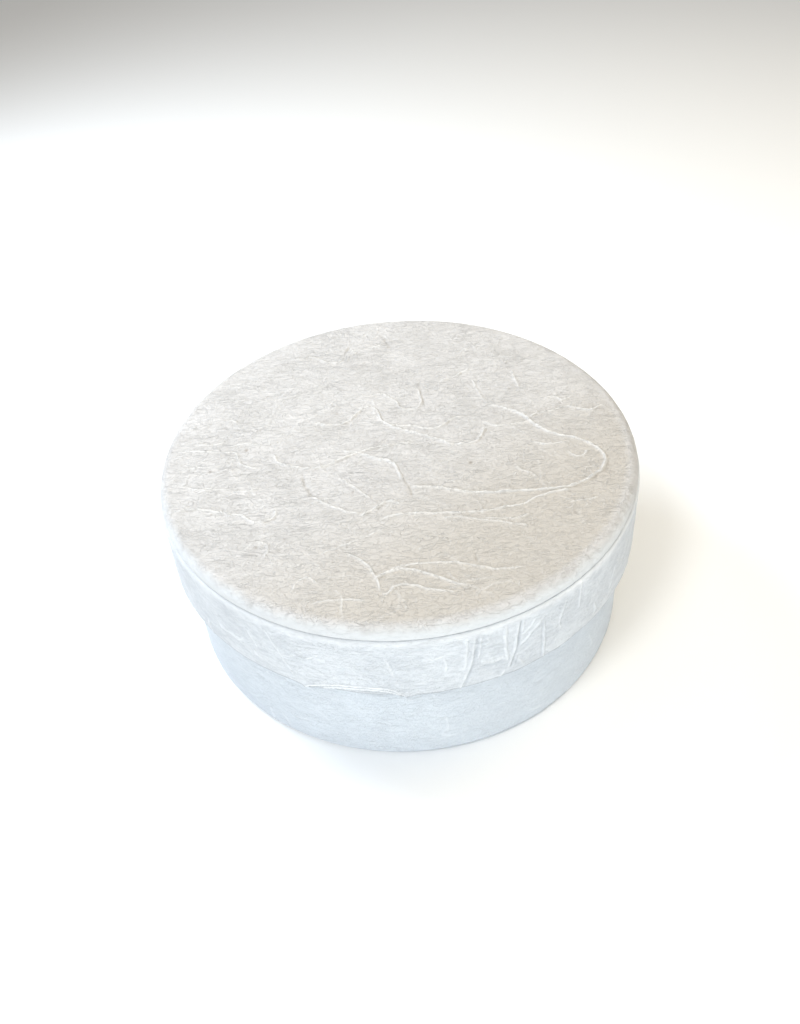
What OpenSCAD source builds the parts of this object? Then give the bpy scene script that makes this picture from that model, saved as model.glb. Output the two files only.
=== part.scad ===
// Round paper-covered box with a lift-off lid, holding a puck of shaving soap.
// Millimetres, +Z up, origin at the centre of the underside.

/* [Box] */
// Outer diameter of the closed box, over the lid
box_d = 92; // [90:1:110]
// Height of the closed box
box_h = 37.3; // [36:0.1:46]
// Gap all round between the tray's wall and the inside of the lid
clearance = 0.25; // [0.2:0.05:0.4]

/* [Lid] */
// Height of the lid's skirt, from its lower edge to the seam under the top disc
skirt_h = 13.9; // [10:0.1:16]
// Thickness of the board disc in the lid's top
lid_board_t = 1.8; // [1.8:0.1:2.6]
// Radius that rounds the lid's top edge
lid_round = 1.6; // [1:0.1:1.6]
// Radius that rolls the top disc's edge under, and the skirt's shoulder
seam_round = 0.5; // [0.4:0.05:0.5]
// How far the top disc stands in from the skirt all round
top_inset = 0.4; // [0:0.1:0.5]
// Thickness of the lid's hoop of board
lid_hoop_t = 1; // [0.8:0.1:1.4]

/* [Tray] */
// Thickness of the tray's hoop of board
tray_hoop_t = 1.2; // [0.8:0.1:1.6]
// Thickness of the tray's floor board
tray_board_t = 1.6; // [1.2:0.1:2.4]
// Gap between the tray's rim and the ceiling of the closed lid
rim_gap = 0.2; // [0.1:0.05:0.6]

/* [Papers] */
// Thickness of the covering paper
cover_t = 0.3; // [0.2:0.05:0.35]
// Thickness of the lining paper
lining_t = 0.2; // [0.1:0.05:0.3]
// Thickness of the gummed tape that closes each hoop
tape_t = 0.15; // [0.1:0.05:0.2]
// Width of that tape
tape_w = 14; // [8:1:20]
// Width of the covering paper turned in over the tray's rim
rim_turn_in = 10; // [6:1:14]
// Width of the covering paper turned in at the lid's lower edge
skirt_turn_in = 7; // [5:0.5:8]
// Width of the covering paper turned under a board disc
disc_turn_in = 7; // [5:1:12]

/* [Soap] */
// Diameter of the soap puck
puck_d = 78; // [70:1:79]
// Height of the soap puck
puck_h = 25; // [18:0.5:27]
// Width of the raised rim on the puck's top face
puck_rim_w = 7; // [4:0.5:12]
// Depth of the shallow dish inside that rim
puck_dish = 0.8; // [0.4:0.1:1.5]
// Diameter of the two waxed leaves
leaf_d = 80; // [79:0.5:80]
// Thickness of a waxed leaf
leaf_t = 0.15; // [0.1:0.05:0.25]

/* [Hidden] */
$fn = 128;
eps = 0.01;

lid_r = box_d / 2;
lid_hoop_r = lid_r - cover_t;
lid_top_r = lid_r - top_inset;                               // covered top disc
lid_board_r = lid_top_r - cover_t;
lid_wall_r = lid_hoop_r - lid_hoop_t;                      // inside of the lid's hoop
lid_bore_r = lid_wall_r - cover_t - lining_t;              // inside of the finished lid
seam_z = box_h - lid_board_t - 2 * cover_t;                // underside of the covered top disc
skirt_z = seam_z - skirt_h;
lid_board_z = seam_z + cover_t;
board_round = lid_round - cover_t;
board_seam_round = seam_round - cover_t;
ceiling_z = seam_z - lining_t;

tray_r = lid_bore_r - clearance;
tray_hoop_r = tray_r - cover_t;
tray_wall_r = tray_hoop_r - tray_hoop_t;                   // inside of the tray's hoop
rim_z = ceiling_z - rim_gap;
tray_hoop_z = 2 * cover_t;
floor_z = tray_hoop_z + tray_board_t;
bottom_inset = 0.8;                                        // bottom sheet stops short of the tray's edge
tray_turn_r = tray_wall_r - disc_turn_in;                  // inner edge of the tray wrap's turn-under
lid_turn_r = lid_r - disc_turn_in;                         // inner edge of the top sheet's turn-under

butt_gap = 0.4;                                            // gap where a hoop's two ends meet
lid_joint_a = 65;                                          // angle of the lid hoop's butt joint
tray_joint_a = 115;                                        // angle of the tray hoop's butt joint
lining_inset = 1;                                          // a lining stops this far from an open edge

lay_gap = 0.1;                                             // air under a loose piece
under_leaf_z = floor_z + lining_t + lay_gap;
puck_z = under_leaf_z + leaf_t;
puck_top_z = puck_z + puck_h;
cover_leaf_z = puck_top_z + lay_gap;
puck_top_round = 2.5;
puck_low_round = 1.5;
dish_slope = 1.2;                                          // run of the slope from the rim into the dish

// Section of a disc from the axis out to r, with its two outer corners rounded
module disc_section(r, z_low, z_top, top_round, low_round) {
    translate([0, z_low + low_round]) square([r, z_top - z_low - low_round - top_round]);
    translate([0, z_top - top_round]) square([r - top_round, top_round]);
    translate([r - top_round, z_top - top_round])
        intersection() { circle(top_round); square(top_round); }
    translate([0, z_low]) square([r - low_round, low_round]);
    translate([r - low_round, z_low + low_round])
        intersection() { circle(low_round); translate([0, -low_round]) square(low_round); }
}

// Section of a ring whose outer top corner is rounded
module ring_section(r_in, r_out, z_low, z_top, shoulder) {
    translate([r_in, z_low]) square([r_out - r_in, z_top - z_low - shoulder]);
    translate([r_in, z_top - shoulder]) square([r_out - r_in - shoulder, shoulder]);
    translate([r_out - shoulder, z_top - shoulder])
        intersection() { circle(shoulder); square(shoulder); }
}

// Sheet laid over a turn-in outside r_step and on the bare board inside it
module stepped_sheet(r, r_step, z, t) {
    rotate_extrude()
        polygon([[0, z + cover_t], [r_step - t, z + cover_t], [r_step - t, z], [r, z],
                 [r, z + t], [r_step, z + t], [r_step, z + cover_t + t], [0, z + cover_t + t]]);
}

// Wall lining that stands in from wall_r by in_low below z_step and by in_top above it
module stepped_lining(wall_r, z_low, z_step, z_top, in_low, in_top) {
    turn = in_top > in_low ? -lining_t : lining_t;
    rotate_extrude()
        polygon([[wall_r - in_low, z_low], [wall_r - in_low, z_step],
                 [wall_r - in_top, z_step], [wall_r - in_top, z_top],
                 [wall_r - in_top - lining_t, z_top], [wall_r - in_top - lining_t, z_step + turn],
                 [wall_r - in_low - lining_t, z_step + turn], [wall_r - in_low - lining_t, z_low]]);
}

// Strip of tape let into the outside of a hoop, centred on its butt joint
module joint_tape(r, z_low, z_top, angle, t) {
    span = tape_w / r * 180 / PI;
    rotate([0, 0, angle - span / 2])
        rotate_extrude(angle = span)
            translate([r - tape_t, z_low]) square([t, z_top - z_low]);
}

// Hoop of rolled board with a butt joint, and a pocket for the tape that closes it
module board_hoop(r, t, z_low, z_top, shoulder, angle) {
    difference() {
        rotate_extrude() ring_section(r - t, r, z_low, z_top, shoulder);
        rotate([0, 0, angle])
            translate([r - 2 * t, -butt_gap / 2, z_low - 1])
                cube([3 * t, butt_gap, z_top - z_low + 2]);
        joint_tape(r, z_low - 1, z_top + 1, angle, 2 * tape_t);
    }
}

module tray_bottom_sheet() {
    color([0.90, 0.92, 0.94])
        stepped_sheet(tray_r - bottom_inset, tray_turn_r, 0, cover_t);
}

module tray_wrap() {
    color([0.88, 0.92, 0.95])
        rotate_extrude()
            difference() {
                ring_section(tray_turn_r, tray_r, cover_t, rim_z, cover_t);
                translate([tray_wall_r, tray_hoop_z])
                    square([tray_hoop_t, rim_z - cover_t - tray_hoop_z]);
                translate([tray_turn_r - eps, tray_hoop_z])
                    square([tray_wall_r - tray_turn_r + 2 * eps, rim_z - rim_turn_in - tray_hoop_z]);
                translate([tray_turn_r - eps, tray_hoop_z])
                    square([tray_wall_r - cover_t - tray_turn_r + eps, rim_z]);
            }
}

module tray_hoop() {
    color([0.66, 0.62, 0.55])
        board_hoop(tray_hoop_r, tray_hoop_t, tray_hoop_z, rim_z - cover_t, 0.2, tray_joint_a);
}

module tray_hoop_tape() {
    color([0.72, 0.56, 0.38])
        joint_tape(tray_hoop_r, tray_hoop_z, rim_z - cover_t - 0.2, tray_joint_a, tape_t);
}

module tray_board() {
    color([0.66, 0.62, 0.55])
        translate([0, 0, tray_hoop_z]) cylinder(r = tray_wall_r, h = tray_board_t);
}

module tray_wall_lining() {
    color([0.93, 0.91, 0.86])
        stepped_lining(tray_wall_r, floor_z, rim_z - rim_turn_in, rim_z - lining_inset, 0, cover_t);
}

module tray_floor_lining() {
    color([0.93, 0.91, 0.86])
        translate([0, 0, floor_z]) cylinder(r = tray_wall_r - lining_t, h = lining_t);
}

module waxed_leaf(z) {
    color([0.94, 0.91, 0.80])
        translate([0, 0, z]) cylinder(d = leaf_d, h = leaf_t);
}

module soap_under_leaf() {
    waxed_leaf(under_leaf_z);
}

module soap_puck() {
    dish_r = puck_d / 2 - puck_rim_w;
    color([0.95, 0.92, 0.84])
        rotate_extrude()
            difference() {
                disc_section(puck_d / 2, puck_z, puck_top_z, puck_top_round, puck_low_round);
                polygon([[-1, puck_top_z - puck_dish], [dish_r - dish_slope, puck_top_z - puck_dish],
                         [dish_r, puck_top_z], [dish_r, puck_top_z + 1], [-1, puck_top_z + 1]]);
            }
}

module soap_cover_leaf() {
    waxed_leaf(cover_leaf_z);
}

module lid_hoop() {
    color([0.66, 0.62, 0.55])
        board_hoop(lid_hoop_r, lid_hoop_t, skirt_z + cover_t, seam_z - cover_t,
                   board_seam_round, lid_joint_a);
}

module lid_hoop_tape() {
    color([0.72, 0.56, 0.38])
        joint_tape(lid_hoop_r, skirt_z + cover_t, seam_z - cover_t - board_seam_round,
                   lid_joint_a, tape_t);
}

module lid_skirt_wrap() {
    color([0.88, 0.92, 0.95])
        rotate_extrude()
            difference() {
                ring_section(lid_wall_r - cover_t, lid_r, skirt_z, seam_z, seam_round);
                ring_section(lid_wall_r, lid_hoop_r, skirt_z + cover_t, seam_z - cover_t,
                             board_seam_round);
                translate([lid_wall_r - 2 * cover_t, skirt_z + skirt_turn_in])
                    square([2 * cover_t, skirt_h]);
            }
}

module lid_board() {
    color([0.66, 0.62, 0.55])
        rotate_extrude()
            disc_section(lid_board_r, lid_board_z, lid_board_z + lid_board_t,
                         board_round, board_seam_round);
}

module lid_top_sheet() {
    color([0.87, 0.86, 0.84])
        rotate_extrude()
            difference() {
                disc_section(lid_top_r, seam_z, box_h, lid_round, seam_round);
                disc_section(lid_board_r, lid_board_z, lid_board_z + lid_board_t,
                             board_round, board_seam_round);
                translate([-1, seam_z - 1]) square([lid_turn_r + 1, cover_t + 2]);
            }
}

module lid_wall_lining() {
    color([0.93, 0.91, 0.86])
        stepped_lining(lid_wall_r, skirt_z + lining_inset, skirt_z + skirt_turn_in, seam_z,
                       cover_t, 0);
}

module lid_ceiling_lining() {
    color([0.93, 0.91, 0.86])
        stepped_sheet(lid_wall_r - lining_t - eps, lid_turn_r, ceiling_z, lining_t);
}

tray_bottom_sheet();
tray_wrap();
tray_hoop();
tray_hoop_tape();
tray_board();
tray_wall_lining();
tray_floor_lining();
soap_under_leaf();
soap_puck();
soap_cover_leaf();
lid_hoop();
lid_hoop_tape();
lid_skirt_wrap();
lid_board();
lid_top_sheet();
lid_wall_lining();
lid_ceiling_lining();
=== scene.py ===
import math
import bpy
import numpy as np
from mathutils import Matrix, Vector


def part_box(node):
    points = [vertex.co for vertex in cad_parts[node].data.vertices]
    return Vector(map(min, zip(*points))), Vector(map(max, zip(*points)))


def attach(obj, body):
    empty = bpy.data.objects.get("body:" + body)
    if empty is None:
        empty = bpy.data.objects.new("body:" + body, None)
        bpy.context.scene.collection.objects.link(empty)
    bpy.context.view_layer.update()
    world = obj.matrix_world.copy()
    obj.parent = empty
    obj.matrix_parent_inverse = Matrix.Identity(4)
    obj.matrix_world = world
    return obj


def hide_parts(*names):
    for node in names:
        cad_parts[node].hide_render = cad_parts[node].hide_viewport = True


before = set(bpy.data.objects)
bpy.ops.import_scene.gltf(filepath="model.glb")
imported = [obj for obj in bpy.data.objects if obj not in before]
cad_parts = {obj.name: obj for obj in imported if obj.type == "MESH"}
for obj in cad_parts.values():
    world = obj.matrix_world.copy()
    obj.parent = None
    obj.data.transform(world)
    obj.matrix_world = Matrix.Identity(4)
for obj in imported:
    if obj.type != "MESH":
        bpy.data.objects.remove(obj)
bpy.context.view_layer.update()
print("frame loaded:", len(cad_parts), "nodes")

# Sizes below are in millimetres unless a name says otherwise; meshes are scaled to metres at the end.
mm = 0.001


def nodeBox(node):
    low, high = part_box(node)
    return [c / mm for c in low], [c / mm for c in high]


def outerRadius(node):
    return nodeBox(node)[1][0]


boxTop = nodeBox("lid_top_sheet")[1][2]
lidRadius = outerRadius("lid_skirt_wrap")
topRadius = outerRadius("lid_top_sheet")
seamHeight = nodeBox("lid_skirt_wrap")[1][2]
skirtFoot = nodeBox("lid_skirt_wrap")[0][2]
trayRadius = outerRadius("tray_wrap")
rimHeight = nodeBox("tray_wrap")[1][2]
paperThickness = nodeBox("tray_wrap")[0][2]
lidHoopRadius = outerRadius("lid_hoop")
lidWallRadius = outerRadius("lid_wall_lining")
trayHoopRadius = outerRadius("tray_hoop")
trayWallRadius = outerRadius("tray_board")


# Camera and light

cameraSet = {
    "distance": 205.5,       # from the middle of the box
    "elevation": 43.8,       # degrees above the table
    "lens": 35.25,           # for a 36 mm sensor on the long side
    "aside": 0.117,          # small turns that put the box off the frame's centre, degrees
    "down": -0.341,
    "roll": -4.67,
}


def addCamera(look):
    e = math.radians(look["elevation"])
    forward = np.array([0, math.cos(e), -math.sin(e)])
    right = np.array([1.0, 0, 0])
    down = -np.cross(right, forward)
    rows = np.array([right, down, forward])
    p, t, r = (math.radians(look[k]) for k in ("aside", "down", "roll"))
    aside = np.array([[math.cos(p), 0, math.sin(p)], [0, 1, 0], [-math.sin(p), 0, math.cos(p)]])
    tilt = np.array([[1, 0, 0], [0, math.cos(t), -math.sin(t)], [0, math.sin(t), math.cos(t)]])
    roll = np.array([[math.cos(r), -math.sin(r), 0], [math.sin(r), math.cos(r), 0], [0, 0, 1]])
    rows = roll @ tilt @ aside @ rows
    place = np.array([0, 0, boxTop / 2]) - forward * look["distance"]
    matrix = Matrix((rows[0], -rows[1], -rows[2])).transposed().to_4x4()
    matrix.translation = Vector(place * mm)
    data = bpy.data.cameras.new("productCamera")
    data.lens = look["lens"]
    data.sensor_width = 36
    data.clip_start = 0.005
    camera = bpy.data.objects.new("productCamera", data)
    camera.matrix_world = matrix
    bpy.context.scene.collection.objects.link(camera)
    bpy.context.scene.camera = camera


lightSet = {
    "world": ((1.0, 0.985, 0.955), 0.28),
    "key": {"at": (-141, -202, 370), "size": 110, "power": 0.60, "colour": (0.96, 0.985, 1.0)},
    "front": {"at": (-212, -368, 132), "size": 200, "power": 0.34, "colour": (0.88, 0.95, 1.0)},
    "fill": {"at": (185, -397, 110), "size": 240, "power": 0.78, "colour": (0.90, 0.965, 1.0)},
    "top": {"at": (-45, 160, 479), "size": 320, "power": 0.39, "colour": (0.99, 1.0, 0.99)},
    "near": {"at": (-190, 130, 200), "size": 150, "power": 0.76, "colour": (0.82, 0.905, 1.0)},
    "warm": {"at": (200, 60, 380), "size": 260, "power": 0.68, "colour": (1.0, 0.86, 0.62)},
}


def addLight(name, look):
    data = bpy.data.lights.new(name, "AREA")
    data.shape = "DISK"
    data.size = look["size"] * mm
    data.energy = look["power"]
    data.color = look["colour"]
    lamp = bpy.data.objects.new(name, data)
    lamp.location = Vector(look["at"]) * mm
    toBox = Vector((0, 0, boxTop / 2 * mm)) - lamp.location
    lamp.rotation_euler = toBox.to_track_quat("-Z", "Y").to_euler()
    bpy.context.scene.collection.objects.link(lamp)


def addWorld(colour, strength):
    world = bpy.data.worlds.new("studioWorld")
    world.use_nodes = True
    sky = world.node_tree.nodes["Background"]
    sky.inputs["Color"].default_value = (*colour, 1)
    sky.inputs["Strength"].default_value = strength
    bpy.context.scene.world = world


addCamera(cameraSet)
addWorld(*lightSet["world"])
for lightName in ("key", "front", "fill", "top", "near", "warm"):
    addLight(lightName + "Light", lightSet[lightName])
bpy.context.scene.view_settings.view_transform = "Standard"
print("camera and lights placed")


# Shader helper

# One output in a material's node tree; arithmetic on it adds Math nodes.
class Wire:
    def __init__(self, tree, socket):
        self.tree = tree
        self.socket = socket

    # Any node: its type, its settings, then the values or links of its sockets
    def node(self, kind, settings=None, feeds=None, out=0):
        made = self.tree.nodes.new(kind)
        for name, value in (settings or {}).items():
            setattr(made, name, value)
        for name, value in (feeds or {}).items():
            if isinstance(value, Wire):
                self.tree.links.new(value.socket, made.inputs[name])
            else:
                made.inputs[name].default_value = value
        return Wire(self.tree, made.outputs[out])

    def maths(self, operation, *values):
        return self.node("ShaderNodeMath", {"operation": operation}, dict(enumerate(values)))

    def __add__(self, other):
        return self.maths("ADD", self, other)

    def __radd__(self, other):
        return self.maths("ADD", other, self)

    def __sub__(self, other):
        return self.maths("SUBTRACT", self, other)

    def __rsub__(self, other):
        return self.maths("SUBTRACT", other, self)

    def __mul__(self, other):
        return self.maths("MULTIPLY", self, other)

    def __rmul__(self, other):
        return self.maths("MULTIPLY", other, self)

    def __truediv__(self, other):
        return self.maths("DIVIDE", self, other)

    def size(self):
        return self.maths("ABSOLUTE", self)

    # Smooth step from 0 at low to 1 at high
    def step(self, low, high):
        return self.node("ShaderNodeMapRange", {"interpolation_type": "SMOOTHSTEP"},
                         {"Value": self, "From Min": low, "From Max": high})

    # Colour from one to the other as this wire goes from 0 to 1
    def mix(self, colourA, colourB):
        return self.node("ShaderNodeMix", {"data_type": "RGBA"},
                         {0: self, 6: opaque(colourA), 7: opaque(colourB)}, out=2)

    def stretched(self, scale):
        return self.node("ShaderNodeMapping", None, {"Vector": self, "Scale": scale})

    def noise(self, scale, detail=2.0, rough=0.5, twist=0.0):
        return self.node("ShaderNodeTexNoise", None,
                         {"Vector": self, "Scale": scale, "Detail": detail,
                          "Roughness": rough, "Distortion": twist})

    # Thin bright lines where the noise crosses its middle
    def hairs(self, scale, width, detail=1.0, twist=0.4):
        return 1 - ((self.noise(scale, detail, 0.5, twist) - 0.5).size() / width).step(0, 1)

    # Dots about each cell's centre
    def dots(self, scale, low, high):
        return 1 - self.node("ShaderNodeTexVoronoi", None,
                             {"Vector": self, "Scale": scale}).step(low, high)

    def attribute(self, name):
        return self.node("ShaderNodeAttribute", {"attribute_name": name}, None, "Fac")

    def bump(self, strength, distance):
        return self.node("ShaderNodeBump", None,
                         {"Height": self, "Strength": strength, "Distance": distance * mm})


def opaque(colour):
    return colour if isinstance(colour, Wire) else (*colour[:3], 1)


# A material with its surface coordinates in millimetres, its shader and a way to feed that shader
def startMaterial(name, fixed):
    material = bpy.data.materials.new(name)
    material.use_nodes = True
    tree = material.node_tree
    shader = tree.nodes["Principled BSDF"]
    for socket, value in fixed.items():
        shader.inputs[socket].default_value = value
    base = Wire(tree, tree.nodes.new("ShaderNodeTexCoord").outputs["Object"])
    return material, base.stretched((1 / mm, 1 / mm, 1 / mm)), shader


def feed(shader, **wires):
    names = {"colour": "Base Color", "rough": "Roughness", "normal": "Normal"}
    for name, wire in wires.items():
        wire.tree.links.new(wire.socket, shader.inputs[names[name]])


# Papers, boards and soap

# Covering paper: pulp clouds, long kozo hairs and a fine felt grain along one direction.
# One paper in three copies: the top's is painted darker and warmer and the skirt's and tray's lighter
# and bluer, as painted shade on the top and painted light on the sides
topPaper = {
    "light": (0.610, 0.596, 0.590),
    "dark": (0.505, 0.491, 0.480),
    "hair": (0.735, 0.725, 0.712),
    "rim": (0.665, 0.680, 0.690),     # painted highlight where it turns over the edge
    "deep": (0.36, 0.335, 0.295),
    "speck": (0.22, 0.17, 0.12),
    "warmShade": (0.508, 0.476, 0.436),    # painted warm shade, darker and warmer towards the front right
    "grain": (0.75, 1.45, 1.45),      # drawn out along the felt's run
    "rough": (0.70, 0.86),
    "relief": 0.23,
}
skirtPaper = {
    "light": (0.680, 0.705, 0.732),
    "dark": (0.552, 0.580, 0.612),
    "hair": (0.76, 0.78, 0.80),
    "rim": (0.84, 0.85, 0.86),        # painted highlight on the lips of the cut edges and along the shoulder
    "deep": (0.32, 0.345, 0.38),
    "speck": (0.22, 0.17, 0.12),
    # painted warm shade colour; the skirt carries no mark for it
    "warmShade": (0.60, 0.62, 0.65),
    "grain": (0.7, 0.7, 1.9),
    "rough": (0.72, 0.88),
    "relief": 0.15,
}
trayPaper = {
    "light": (0.630, 0.673, 0.717),
    "dark": (0.578, 0.621, 0.666),
    "hair": (0.72, 0.755, 0.79),
    "rim": (0.72, 0.755, 0.79),
    "deep": (0.32, 0.345, 0.38),
    "speck": (0.22, 0.17, 0.12),
    # painted warm shade colour; the tray carries no mark for it
    "warmShade": (0.56, 0.60, 0.64),
    "grain": (0.7, 0.7, 1.7),
    "rough": (0.72, 0.88),
    "relief": 0.14,
}


def makeCoverPaper(name, look):
    material, place, shader = startMaterial(name, {
        "Specular IOR Level": 0.25, "Sheen Weight": 0.08, "Sheen Roughness": 0.6})
    felt = place.stretched(look["grain"])
    cloud = place.noise(0.11, 3.0, 0.55)
    pulp = felt.noise(0.55, 4.0, 0.6, 0.5)
    grain = place.stretched((0.85, 1.0, 1.0)).noise(2.1, 3.0, 0.62)
    hairs = felt.hairs(0.32, 0.020, 2.0, 1.2) * felt.noise(0.2, 1.0).step(0.42, 0.62)
    fine = felt.hairs(0.9, 0.035, 1.0, 0.8)
    strand = place.attribute("strand")
    tone = (cloud * 0.35 + pulp * 0.45 + grain * 0.20).step(0.36, 0.64)
    rim = place.attribute("rim")
    colour = tone.mix(look["dark"], look["light"])
    # painted warm shade towards the front right of the top
    colour = place.attribute("warmShade").mix(colour, look["warmShade"])
    colour = (hairs * 0.4 + fine * 0.15).mix(colour, look["hair"])
    # lighter strands and hairs: partly their own colour, partly painted highlight on strand and fold
    # ridges
    colour = (strand * 0.75).mix(colour, look["hair"])
    # painted highlight on the top's rim band and on the skirt's shoulder and lips
    colour = rim.mix(colour, look["rim"])
    colour = place.attribute("shade").mix(colour, look["deep"])
    colour = place.attribute("speck").mix(colour, look["speck"])
    low, high = look["rough"]
    relief = (pulp * 0.40 + grain * 0.80 + hairs * 0.4 + fine * 0.28) * (1 - rim * 0.6)
    feed(shader, colour=colour, rough=pulp * (high - low) + low,
         normal=relief.bump(1.0, look["relief"]))
    return material


liningPaper = {
    "light": (0.86, 0.84, 0.79),
    "dark": (0.78, 0.755, 0.70),
    "hair": (0.66, 0.60, 0.50),
}


def makeLiningPaper(name, look):
    material, place, shader = startMaterial(name, {"Specular IOR Level": 0.25})
    pulp = place.noise(0.5, 4.0, 0.6)
    hairs = place.hairs(0.35, 0.012, 1.0, 1.0) * place.noise(0.3, 1.0).step(0.5, 0.6)
    flecks = place.dots(0.55, 0.05, 0.12)
    colour = pulp.step(0.3, 0.7).mix(look["dark"], look["light"])
    colour = (hairs * 0.4 + flecks * 0.35).mix(colour, look["hair"])
    relief = pulp + place.noise(3.0, 2.0) * 0.5 + hairs
    feed(shader, colour=colour, rough=pulp * 0.15 + 0.76,
         normal=relief.bump(0.6, 0.04))
    return material


greyBoard = {
    "light": (0.50, 0.46, 0.40),
    "dark": (0.36, 0.33, 0.29),
    "fleck": (0.62, 0.60, 0.56),
}


def makeGreyBoard(name, look):
    material, place, shader = startMaterial(name, {"Specular IOR Level": 0.2})
    layers = place.stretched((0.6, 0.6, 3.0)).noise(0.9, 5.0, 0.65)
    flecks = place.dots(0.8, 0.08, 0.22) * place.noise(0.9).step(0.45, 0.6)
    colour = layers.step(0.3, 0.7).mix(look["dark"], look["light"])
    colour = flecks.mix(colour, look["fleck"])
    feed(shader, colour=colour, rough=layers * 0.12 + 0.82,
         normal=(layers + flecks * 0.3).bump(0.7, 0.06))
    return material


gummedTape = {
    "light": (0.56, 0.40, 0.24),
    "dark": (0.44, 0.30, 0.17),
}


def makeGummedTape(name, look):
    material, place, shader = startMaterial(name, {"Specular IOR Level": 0.35})
    ribs = place.stretched((1.0, 1.0, 0.25)).noise(2.2, 2.0)
    pulp = place.noise(0.8, 4.0, 0.6)
    colour = (ribs * 0.5 + pulp * 0.5).step(0.35, 0.65).mix(look["dark"], look["light"])
    feed(shader, colour=colour, rough=pulp * 0.2 + 0.5,
         normal=(ribs + pulp * 0.5).bump(0.5, 0.03))
    return material


waxedPaper = {
    "light": (0.84, 0.81, 0.715),
    "dark": (0.735, 0.69, 0.57),
}


def makeWaxedPaper(name, look):
    material, place, shader = startMaterial(name, {
        "Specular IOR Level": 0.55, "Coat Weight": 0.25, "Coat Roughness": 0.25})
    cloud = place.noise(0.25, 4.0, 0.6, 0.3)
    pulp = place.noise(1.6, 3.0, 0.6)
    wrinkles = place.hairs(0.10, 0.012, 2.0, 0.4)
    colour = (cloud * 0.6 + pulp * 0.4).step(0.35, 0.65).mix(look["dark"], look["light"])
    colour = (wrinkles * 0.3).mix(colour, (0.95, 0.93, 0.87))
    feed(shader, colour=colour, rough=cloud * 0.2 + 0.28,
         normal=(wrinkles + pulp * 0.4).bump(0.6, 0.05))
    return material


creamSoap = {
    "light": (0.84, 0.785, 0.665),
    "dark": (0.76, 0.70, 0.565),
    "vein": (0.88, 0.84, 0.745),
}


def makeSoap(name, look):
    material, place, shader = startMaterial(name, {
        "Specular IOR Level": 0.45, "Subsurface Weight": 0.25, "Subsurface Scale": 1.5 * mm,
        "Subsurface Radius": (1.0, 0.8, 0.55), "Coat Weight": 0.08, "Coat Roughness": 0.35})
    swirl = place.noise(0.07, 4.0, 0.55, 1.6)
    milling = place.stretched((1.0, 0.35, 1.0)).noise(0.5, 4.0, 0.6, 0.8)
    pits = place.dots(0.9, 0.03, 0.09) * place.noise(0.4).step(0.5, 0.62)
    colour = (swirl * 0.6 + milling * 0.4).step(0.35, 0.68).mix(look["dark"], look["light"])
    colour = (place.hairs(0.09, 0.02, 3.0, 1.0) * 0.35).mix(colour, look["vein"])
    feed(shader, colour=colour, rough=milling * 0.18 + 0.36,
         normal=(milling * 0.6 - pits).bump(0.5, 0.05))
    return material


finishes = {
    "topPaper": makeCoverPaper("fibre_paper_top", topPaper),
    "skirtPaper": makeCoverPaper("fibre_paper_skirt", skirtPaper),
    "trayPaper": makeCoverPaper("fibre_paper_tray", trayPaper),
    "lining": makeLiningPaper("lining_paper", liningPaper),
    "board": makeGreyBoard("grey_board", greyBoard),
    "tape": makeGummedTape("gummed_tape", gummedTape),
    "waxed": makeWaxedPaper("waxed_paper", waxedPaper),
    "soap": makeSoap("cream_soap", creamSoap),
}
print("materials made:", len(finishes))


# Relief: noise and strands on a flat map of the paper, u across and v up, in millimetres

# Rises from 0 at low to 1 at high, smoothly
def ease(value, low, high):
    t = np.clip((value - low) / (high - low), 0, 1)
    return t * t * (3 - 2 * t)


def softNoise(u, v, cell, seed, period=None):
    table = np.random.default_rng(seed).uniform(-1, 1, (256, 256))
    columns = 256
    step = cell
    if period:
        columns = min(256, max(3, round(period / cell)))
        step = period / columns
    a = u / step
    b = v / cell
    a0 = np.floor(a).astype(int)
    b0 = np.floor(b).astype(int)
    fa = a - a0
    fb = b - b0
    fa = fa * fa * (3 - 2 * fa)
    fb = fb * fb * (3 - 2 * fb)
    a1 = (a0 + 1) % columns
    a0 = a0 % columns
    b1 = (b0 + 1) % 256
    b0 = b0 % 256
    near = table[a0, b0] * (1 - fa) + table[a1, b0] * fa
    far = table[a0, b1] * (1 - fa) + table[a1, b1] * fa
    return near * (1 - fb) + far * fb


def lengthAlong(section):
    return np.concatenate([[0], np.cumsum(np.hypot(*np.diff(np.array(section), axis=0).T))])


# Rounded route through a few points, a little unsteady, with its samples spacing apart
def smoothRoute(points, wobble=0.15, spacing=0.4):
    p = np.array(points, float)
    p = np.vstack([2 * p[0] - p[1], p, 2 * p[-1] - p[-2]])
    out = []
    for i in range(1, len(p) - 2):
        count = max(2, int(np.hypot(*(p[i + 1] - p[i])) / spacing))
        t = np.linspace(0, 1, count, endpoint=False)[:, None]
        out.append(0.5 * (2 * p[i] + (p[i + 1] - p[i - 1]) * t
                          + (2 * p[i - 1] - 5 * p[i] + 4 * p[i + 1] - p[i + 2]) * t ** 2
                          + (3 * p[i] - p[i - 1] - 3 * p[i + 1] + p[i + 2]) * t ** 3))
    route = np.vstack(out + [p[-2:-1]])
    run = lengthAlong(route)
    seed = int(abs(p).sum() * 10) % 9973
    aside = np.column_stack([softNoise(run, run * 0, 1.3, seed + k) for k in (0, 1)])
    return route + wobble * aside


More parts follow.
